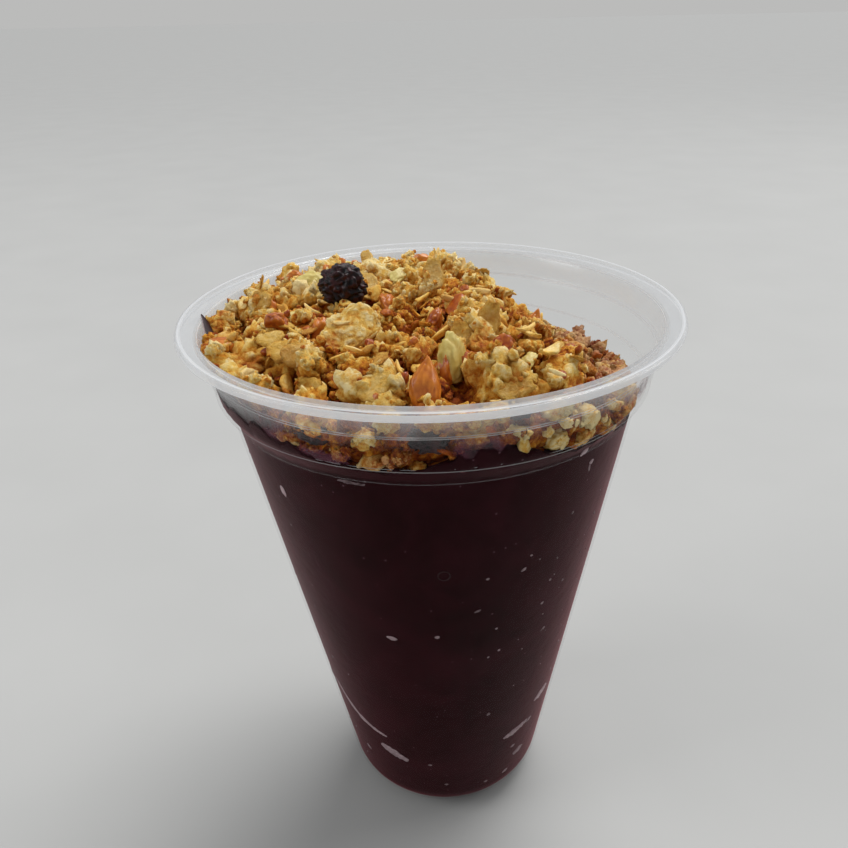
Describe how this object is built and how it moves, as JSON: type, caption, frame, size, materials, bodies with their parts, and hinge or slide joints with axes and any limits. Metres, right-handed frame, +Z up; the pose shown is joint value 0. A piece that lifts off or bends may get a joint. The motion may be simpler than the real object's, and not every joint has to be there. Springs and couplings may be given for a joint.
{
  "type": "acai bowl",
  "caption": "Tapered clear plastic cup of dark acai cream, topped with an uneven heap of granola and a raisin, to rest on its flat foot ring.",
  "frame": {"origin": "on the cup's axis, in the plane its flat foot ring stands on", "axes": "+Z up along the cup's axis, -Y towards the side first seen, +X to its right"},
  "size_m": [0.095, 0.095, 0.131],
  "materials": {
    "cup_plastic": "clear to slightly milky, glossy",
    "acai_cream": "dark purple-brown cream, satin behind the cup wall",
    "granola_crumb": "matt baked crumb",
    "raisin_skin": "wrinkled, half glossy"
  },
  "bodies": {
    "root": {"cup": "cup_plastic", "acai": "acai_cream", "granola": "granola_crumb", "raisin": "raisin_skin"}
  },
  "joints": []
}
